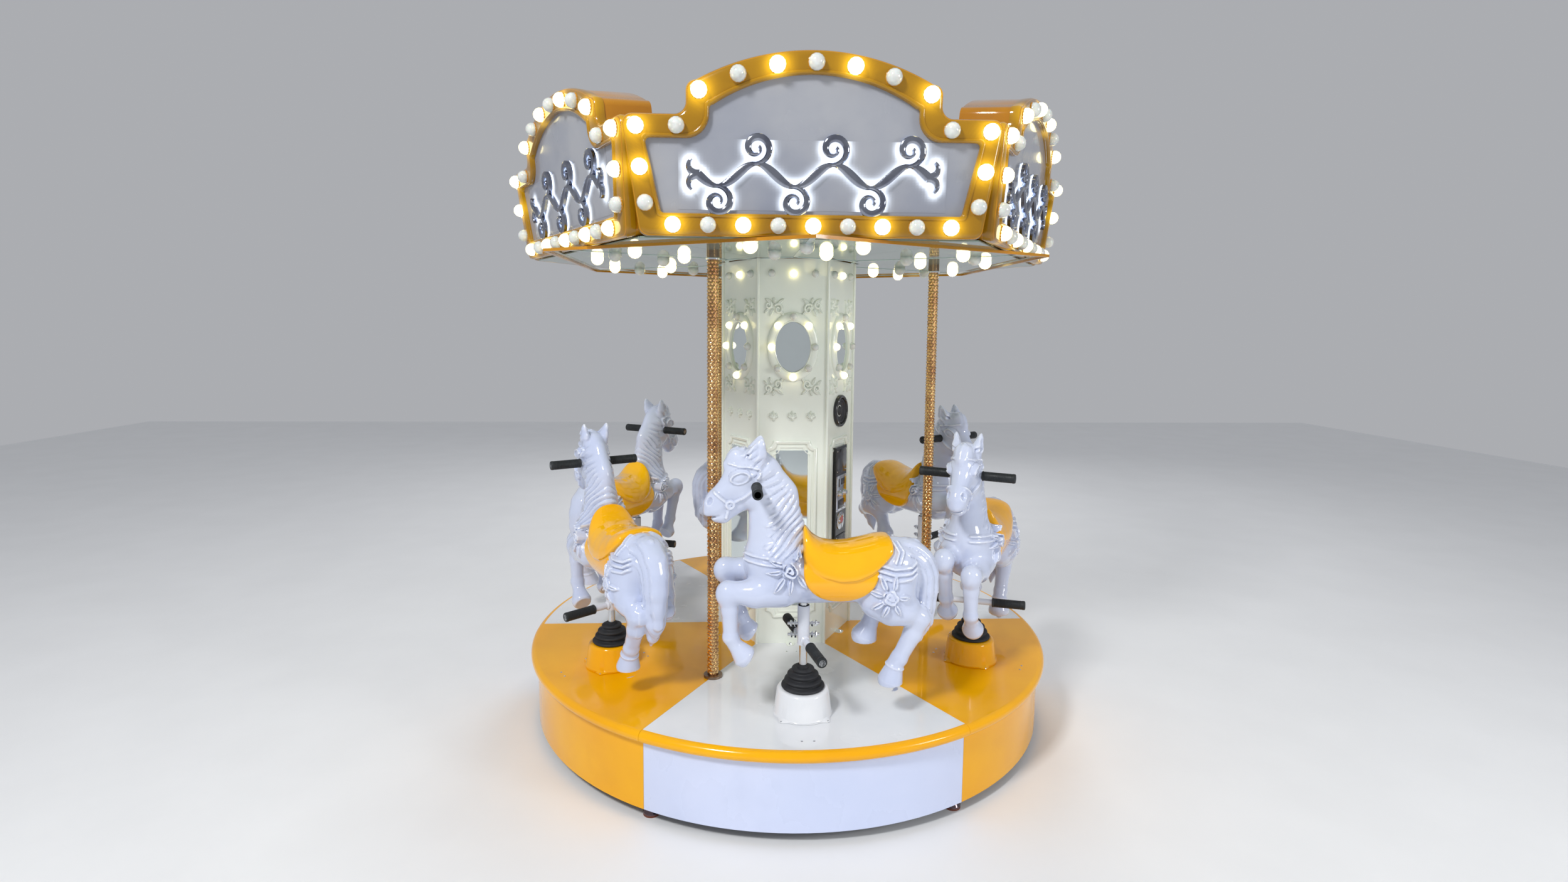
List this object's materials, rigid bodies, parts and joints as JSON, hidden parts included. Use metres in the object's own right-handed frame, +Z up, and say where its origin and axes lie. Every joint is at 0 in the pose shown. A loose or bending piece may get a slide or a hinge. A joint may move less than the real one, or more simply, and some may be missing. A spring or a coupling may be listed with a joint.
{
  "type": "merry-go-round",
  "caption": "Small coin-operated merry-go-round: round deck on a skirted base, hexagonal mirrored column, lit arched signs and prancing horses on lifting rods.",
  "frame": {"origin": "on the floor under the centre of the turntable", "axes": "+Z up along the turntable's axis, -Y through the middle of one sign and one horse"},
  "size_m": [2.115, 1.9998, 2.2439],
  "materials": {
    "frame_steel": "satin black paint",
    "bright_steel": "brushed",
    "motor_grey": "semi-gloss paint",
    "control_plastic": "moulded",
    "chrome": "polished",
    "sign_chrome": "polished, back-lit",
    "pad_rubber": "moulded",
    "wheel_rubber": "moulded",
    "deck_white": "glossy gel coat",
    "deck_yellow": "glossy gel coat",
    "bellows_rubber": "satin",
    "mast_steel": "satin paint",
    "column_white": "glossy gel coat",
    "mirror": "polished",
    "speaker_black": "moulded",
    "door_black": "gloss black and chrome",
    "button_red": "moulded, lit",
    "canopy_yellow": "glossy gel coat",
    "roof_white": "gel coat",
    "sign_white": "satin acrylic",
    "bulb_lit": "frosted, lit",
    "bulb_unlit": "frosted",
    "gold": "embossed, gold anodised",
    "horse_white": "glossy gel coat",
    "saddle_yellow": "glossy gel coat",
    "grip_rubber": "moulded"
  },
  "bodies": {
    "base": {"base_frame": "frame_steel", "levelling_feet": "chrome", "foot_pads": "pad_rubber", "skirt_white": "deck_white", "skirt_yellow": "deck_yellow", "slewing_ring": "bright_steel", "gearmotor": "motor_grey"},
    "drive_wheel": {"drive_wheel": "wheel_rubber"},
    "turntable": {"bellows": "bellows_rubber", "bulbs_lit": "bulb_lit", "bulbs_unlit": "bulb_unlit", "canopy_casings": "canopy_yellow", "canopy_roof": "roof_white", "ceiling_mirrors": "mirror", "column_mouldings": "column_white", "column_ornaments": "column_white", "column_shell": "column_white", "cones_white": "deck_white", "cones_yellow": "deck_yellow", "control_box": "control_plastic", "deck_rim": "deck_yellow", "deck_white": "deck_white", "deck_yellow": "deck_yellow", "gold_poles": "gold", "guide_tubes": "bright_steel", "lift_units": "frame_steel", "loudspeaker": "speaker_black", "mast": "mast_steel", "mirror_glass": "mirror", "pole_sockets": "chrome", "sign_faces": "sign_white", "sign_scrolls": "sign_chrome", "slip_ring": "control_plastic", "turntable_frame": "frame_steel"},
    "coin_door": {"coin_door": "door_black"},
    "coin_button": {"coin_button": "button_red"},
    "horse_1": {"horse_1_shell": "horse_white", "horse_1_saddle": "saddle_yellow", "horse_1_steelwork": "bright_steel", "horse_1_grips": "grip_rubber"},
    "horse_2": {"horse_2_shell": "horse_white", "horse_2_saddle": "saddle_yellow", "horse_2_steelwork": "bright_steel", "horse_2_grips": "grip_rubber"},
    "horse_3": {"horse_3_shell": "horse_white", "horse_3_saddle": "saddle_yellow", "horse_3_steelwork": "bright_steel", "horse_3_grips": "grip_rubber"},
    "horse_4": {"horse_4_shell": "horse_white", "horse_4_saddle": "saddle_yellow", "horse_4_steelwork": "bright_steel", "horse_4_grips": "grip_rubber"},
    "horse_5": {"horse_5_shell": "horse_white", "horse_5_saddle": "saddle_yellow", "horse_5_steelwork": "bright_steel", "horse_5_grips": "grip_rubber"},
    "horse_6": {"horse_6_shell": "horse_white", "horse_6_saddle": "saddle_yellow", "horse_6_steelwork": "bright_steel", "horse_6_grips": "grip_rubber"}
  },
  "joints": [
    {"name": "turntable_spin", "type": "hinge", "parent": "base", "child": "turntable", "pos_m": [0, 0, 0.12], "axis": [0, 0, 1], "continuous": true},
    {"name": "wheel_spin", "type": "hinge", "parent": "base", "child": "drive_wheel", "pos_m": [0.65, 0, 0.1736], "axis": [1, 0, 0], "continuous": true},
    {"name": "coin_door_hinge", "type": "hinge", "parent": "turntable", "child": "coin_door", "pos_m": [0.17365, -0.16723, 0.7], "axis": [0, 0, -1], "range_deg": [0, 100]},
    {"name": "coin_button_press", "type": "slide", "parent": "coin_door", "child": "coin_button", "axis": [-0.866, 0.5, 0], "range_m": [0, 0.003], "stiffness_N_per_m": 800, "springref_m": -0.002},
    {"name": "horse_1_lift", "type": "slide", "parent": "turntable", "child": "horse_1", "axis": [0, 0, 1], "range_m": [-0.04, 0.02], "deforming": ["bellows"]},
    {"name": "horse_2_lift", "type": "slide", "parent": "turntable", "child": "horse_2", "axis": [0, 0, 1], "range_m": [-0.02, 0.04]},
    {"name": "horse_3_lift", "type": "slide", "parent": "turntable", "child": "horse_3", "axis": [0, 0, 1], "range_m": [-0.04, 0.02]},
    {"name": "horse_4_lift", "type": "slide", "parent": "turntable", "child": "horse_4", "axis": [0, 0, 1], "range_m": [-0.02, 0.04]},
    {"name": "horse_5_lift", "type": "slide", "parent": "turntable", "child": "horse_5", "axis": [0, 0, 1], "range_m": [-0.04, 0.02]},
    {"name": "horse_6_lift", "type": "slide", "parent": "turntable", "child": "horse_6", "axis": [0, 0, 1], "range_m": [-0.02, 0.04]}
  ],
  "couplings": [
    {"joint": "wheel_spin", "follows": "turntable_spin", "ratio": -12.5},
    {"joint": "horse_2_lift", "follows": "horse_1_lift", "ratio": -1},
    {"joint": "horse_3_lift", "follows": "horse_1_lift", "ratio": 1},
    {"joint": "horse_4_lift", "follows": "horse_1_lift", "ratio": -1},
    {"joint": "horse_5_lift", "follows": "horse_1_lift", "ratio": 1},
    {"joint": "horse_6_lift", "follows": "horse_1_lift", "ratio": -1}
  ]
}
